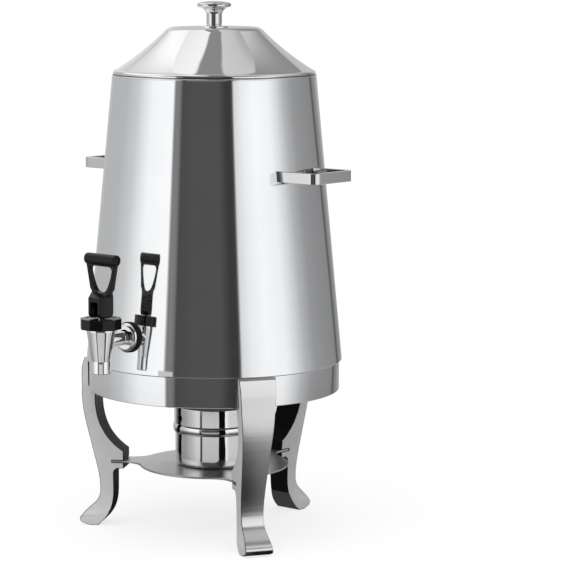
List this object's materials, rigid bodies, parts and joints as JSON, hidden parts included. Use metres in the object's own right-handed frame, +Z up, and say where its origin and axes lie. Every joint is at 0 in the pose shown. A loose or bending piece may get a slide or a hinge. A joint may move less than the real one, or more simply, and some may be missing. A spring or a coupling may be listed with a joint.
{
  "type": "coffee urn",
  "caption": "Polished steel coffee urn with a lift-off lid, side handles and a lever tap, on a legged stand with a tray and a holder for a fuel burner.",
  "frame": {"origin": "on the urn's axis at the floor under the three feet", "axes": "+Z up along the urn's axis; the tap looks towards -Y; the handles point along +X and -X"},
  "size_m": [0.312, 0.325, 0.5383],
  "materials": {
    "polished_steel": "mirror-polished stainless steel",
    "satin_steel": "plain stainless steel sheet",
    "polished_casting": "polished casting with a soft satin face",
    "chrome": "bright chrome plate",
    "fastener_steel": "plain steel fastener",
    "black_plastic": "satin black moulded plastic",
    "black_rubber": "black sealing rubber",
    "pale_silicone": "translucent silicone"
  },
  "bodies": {
    "stand": {"stand_ring": "polished_steel", "leg_right": "polished_casting", "leg_left": "polished_casting", "leg_back": "polished_casting", "leg_screws": "fastener_steel", "burner_tray": "polished_steel"},
    "fuel_holder": {"fuel_cup": "polished_steel"},
    "fuel_cover": {"fuel_cover": "polished_steel"},
    "urn": {"urn_shell": "polished_steel", "urn_bottom": "satin_steel", "seat_collar": "satin_steel", "handle_right": "polished_steel", "handle_left": "polished_steel", "handle_screws": "fastener_steel", "handle_seals": "pale_silicone", "tap_body": "chrome", "tap_escutcheon": "chrome", "outer_gasket": "black_rubber", "inner_gasket": "pale_silicone", "lock_nut": "fastener_steel", "tap_bonnet": "black_plastic", "top_seal": "pale_silicone", "valve_spring": "fastener_steel"},
    "lid": {"lid_shell": "polished_steel", "lid_skirt": "satin_steel", "knob_washer": "polished_steel", "knob": "chrome", "knob_screw": "fastener_steel"},
    "valve": {"valve_stem": "fastener_steel", "seat_cup": "pale_silicone"},
    "lever": {"tap_lever": "black_plastic", "lever_pin": "fastener_steel"}
  },
  "joints": [
    {"name": "fuel_slide", "type": "slide", "parent": "stand", "child": "fuel_holder", "axis": [0, -1, 0], "range_m": [0, 0.2]},
    {"name": "cover_turn", "type": "hinge", "parent": "fuel_holder", "child": "fuel_cover", "pos_m": [0, 0, 0.116], "axis": [0, 0, 1], "continuous": true},
    {"name": "urn_lift", "type": "slide", "parent": "stand", "child": "urn", "axis": [0, 0, 1], "range_m": [0, 0.06]},
    {"name": "lid_lift", "type": "slide", "parent": "urn", "child": "lid", "axis": [0, 0, 1], "range_m": [0, 0.06]},
    {"name": "lever_tilt", "type": "hinge", "parent": "valve", "child": "lever", "pos_m": [0, -0.166, 0.24435], "axis": [1, 0, 0], "range_deg": [0, 35], "stiffness_Nm_per_rad": 0.15},
    {"name": "valve_lift", "type": "slide", "parent": "urn", "child": "valve", "axis": [0, 0, 1], "range_m": [0, 0.00336], "deforming": ["valve_spring"]}
  ],
  "couplings": [
    {"joint": "valve_lift", "follows": "lever_tilt", "m_per_rad": 0.0055}
  ]
}
